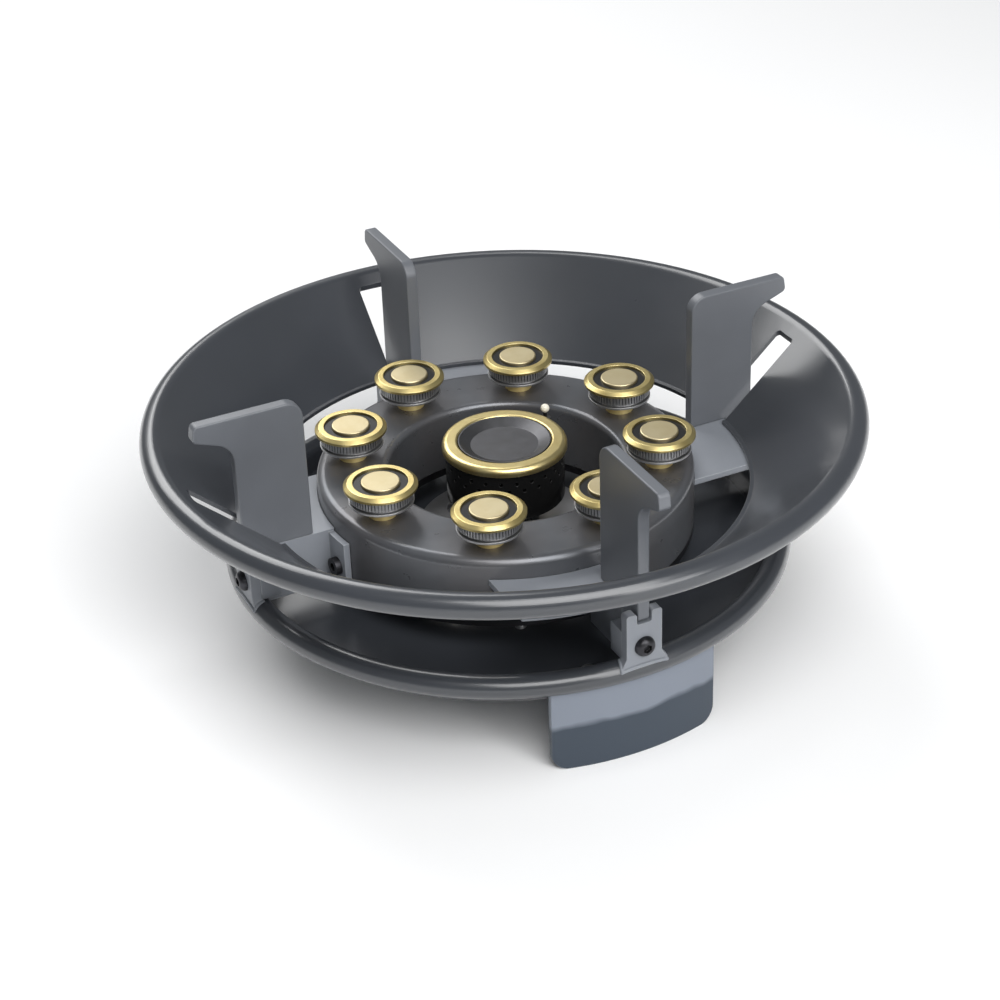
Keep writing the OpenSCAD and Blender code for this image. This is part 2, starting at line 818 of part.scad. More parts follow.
module burner_body() {
    color("#5f6163")
        difference() {
            rotate_extrude()
                difference() {
                    slab_section(body_bore_r, body_r, body_z, body_top, bore_edge, body_edge);
                    translate([body_bore_r + body_wall, body_z - overrun])
                        square([body_r - body_bore_r - 2 * body_wall, body_h - body_top_t + overrun]);
                }
            each_jet()
                post(0, 0, body_top - body_top_t - overrun, jet_thread_r + thread_gap,
                    body_top_t + 2 * overrun);
            each_support()
                rotate(post_screw_az)
                    translate([0, 0, post_screw_z])
                        rod(body_r - body_wall - overrun, post_screw_r + thread_gap, body_wall + 2 * overrun);
            plate_screw_places()
                post(0, 0, body_z - overrun, plate_screw_r + thread_gap, plate_screw_l + 2 * overrun);
        }
}

// Places of the screws that come from below into the base plate
module under_screw_places() {
    for (x = [-bridge_end, bridge_end])
        for (y = [-bridge_screw_spacing / 2, bridge_screw_spacing / 2])
            translate([x, y, 0]) children();
    translate([outer_x, tube_spacing, 0])
        rotate(outer_az)
            for (side = [-1, 1]) translate([0, side * foot_flange_spacing / 2, 0]) children();
}

module burner_base_plate() {
    color("#55575a")
        difference() {
            ring(body_bore_r, body_r, plate_z, plate_t);
            post(outer_x, tube_spacing, plate_z - overrun, tube_bore_r, plate_t + 2 * overrun);
            plate_screw_places()
                post(0, 0, plate_z - overrun, plate_screw_r + hole_gap, plate_t + 2 * overrun);
            under_screw_places()
                post(0, 0, plate_z - overrun, under_screw_r + thread_gap, plate_t + 2 * overrun);
        }
}

module base_plate_screws() {
    color("#8c8e91")
        plate_screw_places()
            translate([0, 0, plate_z])
                socket_screw(plate_screw_r, plate_t + plate_screw_l, plate_head_r, plate_head_h);
}

// Brass stem that screws into the burner body and spreads to the head
module jet_stem(k) {
    color("#d8b65c")
        jet_place(k - 1)
            difference() {
                union() {
                    post(0, 0, body_top - jet_thread_l, jet_thread_r, jet_thread_l + overrun);
                    post(0, 0, body_top, jet_collar_r, jet_collar_h);
                    translate([0, 0, body_top + jet_collar_h])
                        cylinder(r1 = jet_collar_r, r2 = jet_cone_r, h = jet_cone_h);
                    post(0, 0, jet_stem_top - overrun, jet_spigot_r, jet_spigot_h + overrun);
                }
                post(0, 0, body_top - jet_thread_l - overrun, jet_bore_r,
                    jet_stem_top - body_top + jet_thread_l + jet_spigot_h + 2 * overrun);
            }
}

// Slotted steel head of a jet
module jet_head(k) {
    inner_r = jet_spigot_r + thread_gap;
    color("#9b9da0")
        jet_place(k - 1)
            difference() {
                union() {
                    ring(inner_r, jet_flange_r, jet_stem_top, jet_flange_t);
                    ring(inner_r, jet_groove_r, jet_stem_top, jet_flange_t + jet_groove_h + jet_slot_d);
                    ring(inner_r, jet_head_r, jet_head_z, jet_head_h);
                    post(0, 0, jet_chamber_top, jet_groove_r, jet_roof_t);
                }
                post(0, 0, jet_chamber_top - overrun, jet_pin_r + thread_gap, jet_top);
                for (i = [0:jet_slots - 1])
                    rotate(i * 360 / jet_slots)
                        translate([jet_head_r - jet_slot_d, -jet_slot_w / 2, jet_head_z - overrun])
                            cube([jet_slot_d + overrun, jet_slot_w, jet_slot_l + overrun]);
            }
}

// Brass rings on top of the jet heads
module jet_rings() {
    section = [
        [jet_port_r, 0], [jet_ring_r, 0], [jet_ring_r, jet_ring_edge],
        [jet_ring_r - jet_ring_chamfer, jet_ring_h], [jet_port_r, jet_ring_h]
    ];
    color("#e3cb7c")
        each_jet() translate([0, 0, jet_top]) rotate_extrude() polygon(section);
}

// Black rings between the brass rings and the buttons
module jet_port_rings() {
    color("#26272a")
        each_jet()
            ring(jet_button_r + thread_gap, jet_port_r - thread_gap, jet_top, jet_port_h);
}

// Brass buttons in the middle of the jet heads
module jet_buttons() {
    color("#e6d293")
        each_jet() {
            translate([0, 0, jet_top])
                rotate_extrude()
                    difference() {
                        square([jet_button_r, jet_button_h]);
                        corner_off(jet_button_r, jet_button_h, jet_button_edge);
                    }
            post(0, 0, jet_chamber_top, jet_pin_r, jet_roof_t + jet_button_edge);
        }
}

// Perforated pot of the centre burner, with the socket that stands on the bridge
module centre_pot() {
    color("#1d1e20")
        difference() {
            union() {
                post(0, 0, plate_z, socket_r, pot_z - plate_z + pot_wall);
                post(0, 0, pot_z, pot_r, pot_depth);
            }
            post(0, 0, plate_z - overrun, tube_r + seat_gap, socket_grip + overrun);
            post(0, 0, plate_z, tube_bore_r, pot_top - plate_z);
            post(0, 0, pot_z + pot_wall, pot_r - pot_wall, pot_depth);
            for (row = [0, 1])
                for (i = [0:port_count - 1])
                    rotate((i + row / 2) * 360 / port_count)
                        translate([0, 0, pot_top - port_drop - row * port_pitch])
                            rod(pot_r - pot_wall - overrun, port_r, pot_wall + 2 * overrun);
        }
}

// Bell at the end of a mixing tube, with its air windows and the tapped end wall
module bell() {
    x0 = bell_x0 - bell_collar_w;
    difference() {
        union() {
            rod(x0, bell_r, bell_x - x0);
            rod(x0, collar_r, bell_collar_w);
            rod(bell_x - bell_end_t, collar_r, bell_end_t);
        }
        rod(x0 - overrun, tube_bore_r, bell_collar_w + 2 * overrun);
        rod(bell_x0, bell_r - bell_wall, bell_l);
        rod(bell_x - bell_end_t - overrun, injector_r + thread_gap, bell_end_t + 2 * overrun);
        windows();
    }
}

// Four air windows, one on each side of a bell's axis
module windows() {
    for (a = [0, 90])
        rotate([a, 0, 0])
            translate([window_x, -window_w / 2, -collar_r - overrun])
                cube([window_l, window_w, 2 * (collar_r + overrun)]);
}

// Mixing tube from the bell to an upright end at x, with its top at z
module mixing_tube(x, top) {
    run_x = x + bend_r;
    bell_start = bell_x0 - bell_collar_w;
    difference() {
        rod(run_x, tube_r, bell_start - run_x);
        rod(run_x - overrun, tube_bore_r, bell_start - run_x + 2 * overrun);
    }
    translate([run_x, 0, bend_r])
        rotate([90, 0, 0])
            rotate([0, 0, 180])
                rotate_extrude(angle = 90)
                    translate([bend_r, 0])
                        difference() {
                            circle(r = tube_r);
                            circle(r = tube_bore_r);
                        }
    translate([x, 0, 0]) ring(tube_bore_r, tube_r, bend_r, top - tube_z - bend_r);
    bell();
}

module centre_mixing_tube() {
    color("#8f9194") translate([0, 0, tube_z]) mixing_tube(0, socket_top);
}

module outer_mixing_tube() {
    color("#8f9194") {
        translate([0, tube_spacing, tube_z]) mixing_tube(outer_x, plate_z);
        difference() {
            translate([outer_x, tube_spacing, plate_z - foot_flange_t]) {
                cylinder(r = tube_r + tube_wall, h = foot_flange_t);
                rotate(outer_az) {
                    translate([-ear_r, -foot_flange_spacing / 2, 0])
                        cube([2 * ear_r, foot_flange_spacing, foot_flange_t]);
                    for (side = [-1, 1])
                        post(0, side * foot_flange_spacing / 2, 0, ear_r, foot_flange_t);
                }
            }
            post(outer_x, tube_spacing, 0, tube_bore_r + tube_wall / 2, plate_z + overrun);
            under_screw_places() post(0, 0, 0, under_screw_r + hole_gap, plate_z + overrun);
        }
    }
}

// Strap under the base plate that carries the pot, the electrode and the thermocouple
module tube_bridge() {
    color("#7c7f83")
        difference() {
            union() {
                translate([-bridge_end - ear_r, -bridge_w / 2, bridge_z])
                    cube([2 * (bridge_end + ear_r), bridge_w, bridge_t]);
                post(0, 0, bridge_z, bridge_r, bridge_t);
            }
            post(0, 0, bridge_z - overrun, tube_r + seat_gap, bridge_t + 2 * overrun);
            for (a = bridge_hole_az)
                rotate(a) post(bridge_hole_at, 0, bridge_z - overrun, bridge_hole_r, bridge_t + 2 * overrun);
            rotate(spark_az)
                post(spark_at, 0, bridge_z - overrun, insulator_r + seat_gap, bridge_t + 2 * overrun);
            rotate(probe_az)
                post(spark_at, 0, bridge_z - overrun, probe_r + seat_gap, bridge_t + 2 * overrun);
            under_screw_places()
                post(0, 0, bridge_z - overrun, under_screw_r + hole_gap, bridge_t + 2 * overrun);
        }
}

// One screw from below, with its head against a piece of thickness t
module under_screw(t) {
    translate([0, 0, plate_z - t]) socket_screw(under_screw_r, t + plate_t, under_head_r, under_head_h);
}

module underside_screws() {
    color("#8c8e91") {
        for (x = [-bridge_end, bridge_end])
            for (y = [-bridge_screw_spacing / 2, bridge_screw_spacing / 2])
                translate([x, y, 0]) under_screw(bridge_t);
        translate([outer_x, tube_spacing, 0])
            rotate(outer_az)
                for (side = [-1, 1])
                    translate([0, side * foot_flange_spacing / 2, 0]) under_screw(foot_flange_t);
    }
}

// Injector that screws into a bell's end wall and into the manifold
module injector() {
    color("#c9a24a")
        translate([0, 0, tube_z])
            difference() {
                union() {
                    rod(bell_x - bell_end_t - nozzle_l, nozzle_r, nozzle_l + overrun);
                    rod(bell_x - bell_end_t, injector_r, bell_end_t + injector_collar_l + injector_grip);
                    rod(bell_x, injector_collar_r, injector_collar_l, $fn = hex_sides);
                }
                rod(bell_x - bell_end_t - nozzle_l - overrun, injector_bore_r,
                    nozzle_l + bell_end_t + injector_collar_l + injector_grip + 2 * overrun);
            }
}

module centre_injector() {
    injector();
}

module outer_injector() {
    translate([0, tube_spacing, 0]) injector();
}

// Square bar with the gas channel along it
module gas_manifold() {
    color("#a88f52")
        difference() {
            translate([bar_x, -bar_over, bar_z])
                cube([bar_side, tube_spacing + 2 * bar_over, bar_side]);
            translate([bar_x + bar_side / 2, -bar_over / 2, tube_z])
                rotate([-90, 0, 0])
                    cylinder(r = channel_r, h = tube_spacing + 2 * bar_over);
            for (y = [0, tube_spacing])
                translate([0, y, tube_z]) {
                    rod(bar_x - overrun, injector_r + thread_gap, injector_grip + overrun);
                    rod(bar_x, manifold_port_r, bar_side / 2);
                }
            translate([0, inlet_y, tube_z]) rod(bar_x + bar_side / 2, inlet_root_r + thread_gap, bar_side);
        }
}

// Plug in the open end of the gas channel
module manifold_plug() {
    end_y = tube_spacing + bar_over;
    color("#c9a24a")
        translate([bar_x + bar_side / 2, end_y, tube_z])
            rotate([-90, 0, 0]) {
                translate([0, 0, -plug_l]) cylinder(r = channel_r - thread_gap, h = plug_l + overrun);
                cylinder(r = plug_head_r, h = plug_head_h, $fn = hex_sides);
            }
}

module gas_inlet() {
    whole_l = inlet_root_l + inlet_collar_l + inlet_l;
    color("#c9a24a")
        translate([0, inlet_y, tube_z])
            difference() {
                union() {
                    rod(inlet_x - inlet_root_l, inlet_root_r, inlet_root_l + overrun);
                    rod(inlet_x, inlet_collar_r, inlet_collar_l, $fn = hex_sides);
                    rod(inlet_x + inlet_collar_l, inlet_r, inlet_l);
                }
                rod(inlet_x - inlet_root_l - overrun, inlet_bore_r, whole_l + 2 * overrun);
            }
}

module electrode_insulator() {
    color("#ece6d4")
        rotate(spark_az)
            translate([spark_at, 0, 0])
                difference() {
                    union() {
                        post(0, 0, bridge_z - insulator_down, insulator_r,
                            insulator_down + bridge_t + insulator_up);
                        post(0, 0, plate_z, insulator_collar_r, insulator_collar_h);
                    }
                    post(0, 0, 0, wire_r + thread_gap, pot_top + insulator_up);
                }
}

module electrode_wire() {
    top = plate_z + insulator_up;
    bottom = bridge_z - insulator_down - terminal_l;
    color("#d9d2bf")
        rotate(spark_az)
            translate([spark_at, 0, 0]) {
                post(0, 0, bottom, wire_r, top + ball_rise - bottom);
                translate([0, 0, top + ball_rise]) sphere(r = ball_r);
                post(0, 0, bottom, insulator_r, terminal_l);
            }
}

module thermocouple() {
    color("#b5794a")
        rotate(probe_az)
            translate([spark_at, 0, 0]) {
                post(0, 0, bridge_z - probe_down, probe_r, probe_down + bridge_t + probe_up);
                post(0, 0, plate_z, probe_nut_r, probe_nut_h, $fn = hex_sides);
            }
}

// Sleeve that turns on a bell and covers its windows
module shutter() {
    x0 = bell_x0 + shutter_end_gap;
    l = bell_l - 2 * shutter_end_gap;
    color("#9ea1a5")
        translate([0, 0, tube_z])
            difference() {
                union() {
                    rod(x0, collar_r, l);
                    translate([x0, -collar_r - thumb_l, -thumb_t / 2])
                        cube([(bell_l - window_l) / 2 - shutter_end_gap, collar_r, thumb_t]);
                }
                rod(x0 - overrun, bell_r + shutter_gap, l + 2 * overrun);
                windows();
            }
}

module centre_shutter() {
    shutter();
}

module outer_shutter() {
    translate([0, tube_spacing, 0]) shutter();
}

// Brass ring of the cap, with the spigot that drops into the pot
module cap_ring() {
    color("#e3cb7c")
        rotate_extrude() {
            slab_section(cap_in_r, cap_r, pot_top, pot_top + cap_ring_h, cap_inner_edge, cap_edge);
            translate([cap_in_r - cap_ledge, pot_top]) square([cap_ledge + overrun, cap_ledge_h]);
            translate([cap_spigot_r - cap_spigot_wall, pot_top - cap_spigot_h])
                square([cap_spigot_wall, cap_spigot_h + overrun]);
        }
}

// Dished disc in the middle of the cap
module cap_disc() {
    floor_r = disc_r - dish_slope_w;
    under_r = cap_in_r - cap_ledge - seat_gap;
    section = [
        [0, pot_top], [under_r, pot_top], [under_r, ledge_top], [disc_r, ledge_top],
        [disc_r, disc_top], [disc_r - cap_ledge / 2, disc_top], [floor_r, dish_z], [0, dish_z]
    ];
    color("#6c6f72") rotate_extrude() polygon(section);
}

// Flared shield that stands on the lugs, with a slot for each pan support
module wind_shield() {
    foot = [shield_foot_r, shield_z];
    under = foot + polar(shield_sheet, shield_slope - 90);
    ring_in = shield_foot_r - shield_ring_w;
    ring_out = shield_foot_r + shield_ring_w;
    meet_z = under[1] + (ring_out - under[0]) * tan(shield_slope);
    section = concat(
        [[ring_in, lug_z], [ring_out, lug_z], [ring_out, meet_z]],
        arc([lip_r, lip_z], lip_tube - shield_sheet, 90 + shield_slope, -lip_curl),
        arc([lip_r, lip_z], lip_tube, -lip_curl, 90 + shield_slope),
        [foot, [ring_in, shield_z]]
    );
    color("#55585b")
        difference() {
            rotate_extrude() polygon(section);
            each_support()
                translate([0, 0, lug_z - overrun])
                    linear_extrude(lip_rise + lip_tube + 2 * overrun)
                        slot_outline();
        }
}

// Outline of a slot, seen from above
module slot_outline() {
    start = shield_foot_r - shield_ring_w - overrun;
    translate([start, -slot_w / 2]) square([slot_r - slot_corner - start, slot_w]);
    translate([start, slot_corner - slot_w / 2]) square([slot_r - start, slot_w - 2 * slot_corner]);
    for (side = [-1, 1])
        translate([slot_r - slot_corner, side * (slot_w / 2 - slot_corner)]) circle(r = slot_corner);
}

// Upright plate that carries a pan, with a prong that reaches over the shield
module pan_support(k) {
    outline = [
        [support_in_r, lug_z], [support_foot_r, lug_z], [support_foot_r, leg_z],
        [support_out_r, leg_z], [support_out_r, prong_root_z], [prong_r, support_top - prong_t],
        [prong_r - tip_edge / 2, support_top], [support_in_r, support_top]
    ];
    edges = [tip_edge / 2, 0, 0, tip_edge, prong_fillet, tip_edge, tip_edge, support_corner];
    color("#7f858e")
        rotate((k - 1) * support_step)
            translate([0, support_t / 2, 0])
                rotate([90, 0, 0])
                    linear_extrude(support_t)
                        polygon(rounded(outline, edges));
}

pan();
foot_tab_front();
foot_tab_rear();
tab_rivets();
for (k = [1:supports]) support_bracket(k);
for (k = [1:supports]) carrier_arm(k);
bracket_bolts();
arm_screws();
burner_body();
burner_base_plate();
base_plate_screws();
for (k = [1:jet_count]) jet_stem(k);
for (k = [1:jet_count]) jet_head(k);
jet_rings();
jet_port_rings();
jet_buttons();
centre_pot();
centre_mixing_tube();
outer_mixing_tube();
tube_bridge();
underside_screws();
centre_injector();
outer_injector();
gas_manifold();
manifold_plug();
gas_inlet();
electrode_insulator();
electrode_wire();
thermocouple();
centre_shutter();
outer_shutter();
cap_ring();
cap_disc();
wind_shield();
for (k = [1:supports]) pan_support(k);
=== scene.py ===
# %% [markdown]
# A built-in gas hob is a stack of plain metal trades: a spun and slotted wind shield, plates cut
# from 6 mm steel, a cast and turned burner body, and eight small jets in brass and steel. The
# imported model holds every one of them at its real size, so this script loads it first and never
# moves it. What is left to do here is what a finisher does on the bench: break the sharp edges,
# cut the thread on the gas inlet, lay the welds, and give each metal its own skin.

# %% Load the hob
import json
import math

import bpy
from mathutils import Matrix, Vector

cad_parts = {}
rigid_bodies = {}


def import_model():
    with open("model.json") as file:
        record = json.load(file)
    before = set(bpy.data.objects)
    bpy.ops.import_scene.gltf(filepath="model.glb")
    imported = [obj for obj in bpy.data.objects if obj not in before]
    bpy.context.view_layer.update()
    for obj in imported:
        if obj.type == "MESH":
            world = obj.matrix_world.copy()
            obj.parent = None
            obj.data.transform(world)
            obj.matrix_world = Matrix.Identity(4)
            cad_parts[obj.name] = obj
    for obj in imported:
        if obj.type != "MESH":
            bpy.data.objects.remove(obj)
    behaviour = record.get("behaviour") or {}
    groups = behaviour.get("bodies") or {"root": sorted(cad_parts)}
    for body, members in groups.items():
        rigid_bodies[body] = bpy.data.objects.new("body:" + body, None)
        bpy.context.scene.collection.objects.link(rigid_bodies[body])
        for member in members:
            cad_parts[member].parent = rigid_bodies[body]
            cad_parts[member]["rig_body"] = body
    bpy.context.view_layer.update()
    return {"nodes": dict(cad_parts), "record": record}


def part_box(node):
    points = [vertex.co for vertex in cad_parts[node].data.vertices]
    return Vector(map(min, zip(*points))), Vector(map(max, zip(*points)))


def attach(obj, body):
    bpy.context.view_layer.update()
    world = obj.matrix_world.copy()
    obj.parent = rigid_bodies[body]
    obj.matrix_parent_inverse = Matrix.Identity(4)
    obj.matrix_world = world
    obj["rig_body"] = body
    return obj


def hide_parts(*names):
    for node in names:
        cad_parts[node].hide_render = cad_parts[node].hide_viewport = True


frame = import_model()
nodes = frame["nodes"]
MM = 0.001

# %% [markdown]
# The camera stands where the photographer stood. A long lens from about a metre away keeps the
# ellipses of the rims nearly true, and the small roll is the photographer's own. The camera is
# built from its three axes, because that is how it was measured, and it needs no tracking.

# %% Stand the camera
LENS_MM = 84.53
SENSOR_MM = 36
TURN = math.radians(-25.2)
TILT = math.radians(31.124)
ROLL = math.radians(-2.167)
STAND = Vector((-3.2, -990.2, 662.7)) * MM


def turned(vector):
    """A vector of the camera's own frame, turned round the burner axis into the hob's."""
    return Matrix.Rotation(TURN, 3, "Z") @ Vector(vector)


level = turned((1, 0, 0))
ahead = turned((0, math.cos(TILT), -math.sin(TILT)))
above = turned((0, math.sin(TILT), math.cos(TILT)))
right = math.cos(ROLL) * level + math.sin(ROLL) * above
up = math.cos(ROLL) * above - math.sin(ROLL) * level
axes = Matrix((right, up, -ahead)).transposed().to_4x4()
bpy.ops.object.camera_add()
camera = bpy.context.object
camera.data.lens = LENS_MM
camera.data.sensor_width = SENSOR_MM
camera.matrix_world = Matrix.Translation(turned(STAND)) @ axes
bpy.context.scene.camera = camera
print("camera at", [round(c, 3) for c in turned(STAND)])

# %% [markdown]
# A finish is a small program of nodes, and it reads best as sums. The first class wraps one
# output of a node, so that Python's own signs add the maths nodes. The second is a material with
# one way to add any other node: its type, its settings, and what its sockets hold or follow.


# %% Write shader maths as sums
class Shade:
    """One output of a shader node, which can stand in a sum."""

    def __init__(self, finish, socket):
        self.finish = finish
        self.socket = socket

    def __add__(self, other):
        return self.finish.maths("ADD", self, other)

    def __sub__(self, other):
        return self.finish.maths("SUBTRACT", self, other)

    def __rsub__(self, other):
        return self.finish.maths("SUBTRACT", other, self)

    def __mul__(self, other):
        return self.finish.maths("MULTIPLY", self, other)

    def __truediv__(self, other):
        return self.finish.maths("DIVIDE", self, other)

    def __pow__(self, other):
        return self.finish.maths("POWER", self, other)

    __radd__ = __add__
    __rmul__ = __mul__


class Finish:
    """A material, with one way to add a node to it."""

    def __init__(self, name):
        self.material = bpy.data.materials.new(name)
        self.material.use_nodes = True
        self.material.node_tree.nodes.clear()

    def node(self, kind, settings, inputs, output=0):
        """Adds a node; an input that is a Shade is linked, and any other is set."""
        made = self.material.node_tree.nodes.new(kind)
        for key, value in settings.items():
            setattr(made, key, value)
        for key, value in inputs.items():
            if isinstance(value, Shade):
                self.material.node_tree.links.new(value.socket, made.inputs[key])
            else:
                made.inputs[key].default_value = value
        return Shade(self, made.outputs[output]) if made.outputs else None

    def maths(self, operation, *terms):
        """Adds a maths node over the terms."""
        return self.node("ShaderNodeMath", {"operation": operation}, dict(enumerate(terms)))

    def surface(self, inputs):
        """Closes the material with its one skin."""
        skin = self.node("ShaderNodeBsdfPrincipled", {}, inputs)
        self.node("ShaderNodeOutputMaterial", {}, {"Surface": skin})
        return self.material


print("shader sums ready")

# %% [markdown]
# Every metal here needs the same few readings: where a point lies, a cloud of noise at some
# scale, and how near the point is to an edge. The Bevel node answers the last one. It gives the
# normal that a rounded edge would have, and where that differs from the true normal, there is an
# edge, so one node both softens the edge and tells the paint where it is thin.

# %% Read places, clouds and edges
NODE_SAMPLES = 6
EDGE_GAIN = 5.0


def place(finish):
    """Where a point lies, in metres, in the hob's own frame."""
    return finish.node("ShaderNodeTexCoord", {}, {}, "Object")


def along(finish, axis):
    """One coordinate of a point: 0 for X, 1 for Y and 2 for Z."""
    return finish.node("ShaderNodeSeparateXYZ", {}, {0: place(finish)}, axis)


def cloud(finish, size, detail=2.0):
    """Soft noise from 0 to 1 whose blobs are about as wide as size, in metres."""
    inputs = {"Vector": place(finish), "Scale": 1 / size, "Detail": detail}
    return finish.node("ShaderNodeTexNoise", {}, inputs)


def clamp(finish, value):
    """The value, kept between 0 and 1."""
    return finish.node("ShaderNodeClamp", {}, {"Value": value})


def blend(finish, share, low, high):
    """A colour between low and high."""
    return finish.node("ShaderNodeMix", {"data_type": "RGBA"}, {0: share, 6: low, 7: high}, 2)


def rounded(finish, radius):
    """The normal that the surface would have if its edges had this radius."""
    return finish.node("ShaderNodeBevel", {"samples": NODE_SAMPLES}, {"Radius": radius})


def edge(finish, radius):
    """1 on an edge and 0 on the flat."""
    flat = finish.node("ShaderNodeNewGeometry", {}, {}, "Normal")
    pair = {0: rounded(finish, radius), 1: flat}
    agree = finish.node("ShaderNodeVectorMath", {"operation": "DOT_PRODUCT"}, pair, "Value")
    return clamp(finish, (1 - agree) * EDGE_GAIN)


print("readings ready")

# %% [markdown]
# Three habits are common to all finishes. The gloss is mottled about its middle value, the edges
# are rubbed paler than the flats, and a fine relief lies on top of the rounded edges.


# %% Mottle the gloss, rub the edges, raise the relief
def swayed(middle, noise, swing):
    """The middle value, moved by the noise up to half the swing to either side."""
    return middle + (noise - 0.5) * swing


def mottled(finish, middle, swing, size, detail=2.0):
    """A value that sways about the middle in blobs of this size."""
    return swayed(middle, cloud(finish, size, detail), swing)


def rubbed(finish, colour, pale, radius, share):
    """The colour, paler on edges of this radius."""
    return blend(finish, edge(finish, radius) * share, colour, pale)


def relief(finish, height, depth, radius):
    """Rounded edges with fine relief on top, depth metres from the lowest to the highest."""
    inputs = {"Height": height, "Distance": depth, "Normal": rounded(finish, radius)}
    return finish.node("ShaderNodeBump", {}, inputs)


def tinted(tone, red, green, blue):
    """A linear colour: one tone times a share for each channel."""
    return (tone * red, tone * green, tone * blue, 1)


def grey(value, red=0.0, blue=0.0):
    """A linear grey with a little more or less red and blue in it."""
    return (value + red, value, value + blue, 1)


print("habits ready")

# %% [markdown]
# Turned brass shows rings about its own axis. The centre burner's axis is the hob's, but the
# eight jets stand on a circle, and eight materials would be a waste. So the circle is folded like
# a paper fan: the angle to the nearest jet replaces the angle round the hob, and all eight jets
# fall on the first one. The jets' circle and first angle are read from the first stem's box.

# %% Fold the ring of jets on to one
JETS = 8
stem_low, stem_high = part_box("jet_stem_1")
stem_middle = (stem_low + stem_high) / 2
JET_CIRCLE = stem_middle.xy.length
JET_FIRST = math.atan2(stem_middle.y, stem_middle.x)
JET_STEP = math.tau / JETS


def length(across, deep):
    """The length of the slanting side over two square sides."""
    return (across * across + deep * deep) ** 0.5


def burner_radius(finish):
    """Distance from the burner axis."""
    return length(along(finish, 0), along(finish, 1))


def jet_radius(finish):
    """Distance from the axis of the nearest jet."""
    around = finish.maths("ARCTAN2", along(finish, 1), along(finish, 0)) - JET_FIRST
    folded = around - finish.maths("ROUND", around / JET_STEP) * JET_STEP
    out = burner_radius(finish)
    outwards = out * finish.maths("COSINE", folded) - JET_CIRCLE
    sideways = out * finish.maths("SINE", folded)
    return length(outwards, sideways)


def turning(finish, radius, pitch):
    """Rings that a lathe tool leaves, about pitch metres apart."""
    inputs = {"W": radius, "Scale": 1 / pitch, "Detail": 3.0}
    return finish.node("ShaderNodeTexNoise", {"noise_dimensions": "1D"}, inputs)


print("jets on a circle of", round(JET_CIRCLE / MM, 2), "mm")

# %% [markdown]
# The shield and the pan are coated dark grey and baked. Such a coat isn't flat: it has a pebbled
# skin about a millimetre across, its depth of colour drifts over a hand's width, and it draws
# back from sharp edges, so these show lighter. The clear top of the coat is smoother than its
# body, and it draws the bright lines on the rolled rims. Smudges change the gloss, not the colour.


# %% Mix the baked coat
def baked_coat(name, tone, gloss, thin):
    """Dark coat, sprayed on and baked; thin says how much shows lighter on the edges."""
    finish = Finish(name)
    thick = grey(tone * 0.88, red=-0.003, blue=0.005)
    sparse = grey(tone * 1.14, red=-0.004, blue=0.009)
    bare = grey(tone * 2.6, blue=0.01)
    drift = blend(finish, cloud(finish, size=70 * MM), thick, sparse)
    pebbles = cloud(finish, size=0.9 * MM)
    return finish.surface({
        "Base Color": rubbed(finish, drift, bare, radius=0.8 * MM, share=thin),
        "Roughness": mottled(finish, gloss, swing=0.12, size=24 * MM, detail=5.0),
        "Coat Weight": 0.7,
        "Coat Roughness": 0.16,
        "Normal": relief(finish, pebbles, depth=0.02 * MM, radius=0.7 * MM),
    })


shield_coat = baked_coat("shield_coat", tone=0.04, gloss=0.3, thin=0.5)
pan_coat = baked_coat("pan_coat", tone=0.04, gloss=0.33, thin=0.4)
print("coats", shield_coat.name, pan_coat.name)

# %% [markdown]
# The supports, brackets and arms have a smoother coat with a blue cast, like a car's primer under
# a thin clear coat. Cut plate keeps faint strokes of the sanding belt, which here run upwards, so
# the noise is squeezed along Z. The edges are only a little lighter.

# %% Mix the support coat
STROKES_PER_METRE = (900, 900, 60)


def support_coat(name, tone, gloss):
    """Smooth blue-grey coat on sanded plate."""
    finish = Finish(name)
    squeeze = {"Vector": place(finish), "Scale": STROKES_PER_METRE}
    strokes = finish.node("ShaderNodeMapping", {"vector_type": "POINT"}, squeeze)
    grain = {"Vector": strokes, "Scale": 1.0, "Detail": 3.0}
    sanding = finish.node("ShaderNodeTexNoise", {}, grain)
    low = tinted(tone, 0.82, 0.87, 0.96)
    high = tinted(tone, 1.05, 1.12, 1.25)
    bare = tinted(tone, 1.8, 1.9, 2)
    drift = blend(finish, cloud(finish, size=35 * MM, detail=3.0), low, high)
    return finish.surface({
        "Base Color": rubbed(finish, drift, bare, radius=0.9 * MM, share=0.5),
        "Roughness": mottled(finish, gloss, swing=0.1, size=15 * MM, detail=4.0),
        "Normal": relief(finish, sanding, depth=0.008 * MM, radius=0.8 * MM),
    })


plate_coat = support_coat("plate_coat", tone=0.13, gloss=0.36)
arm_coat = support_coat("arm_coat", tone=0.23, gloss=0.4)
print("coats", plate_coat.name, arm_coat.name)

# %% [markdown]
# The foot tab's coat carries a painted reflection: its lower half is nearly black-blue and the
# upper half pale, as a glossy plate mirrors a bright room above a dark horizon, with a wavy line
# between them. The line is a height that noise moves up and down, and a steep ramp about that
# height gives it a soft edge a few millimetres wide.


# %% Paint the reflection on the tab's coat
def reflection_painted_coat(name, line, soft, wave):
    """Pale above a wavy line and dark below it, as a painted reflection."""
    finish = Finish(name)
    painted_horizon = mottled(finish, line, swing=wave, size=26 * MM)
    # Painted reflection: pale above the wavy line and dark below it.
    above_painted_horizon = clamp(finish, (along(finish, 2) - painted_horizon) / soft + 0.5)
    dark = (0.03, 0.043, 0.062, 1)
    pale = (0.185, 0.208, 0.25, 1)
    bare = (0.3, 0.32, 0.36, 1)
    colour = blend(finish, above_painted_horizon, dark, pale)
    pebbles = cloud(finish, size=0.9 * MM)
    return finish.surface({
        "Base Color": rubbed(finish, colour, bare, radius=0.9 * MM, share=0.4),
        "Roughness": mottled(finish, 0.34, swing=0.12, size=12 * MM, detail=4.0),
        "Normal": relief(finish, pebbles, depth=0.01 * MM, radius=0.7 * MM),
    })
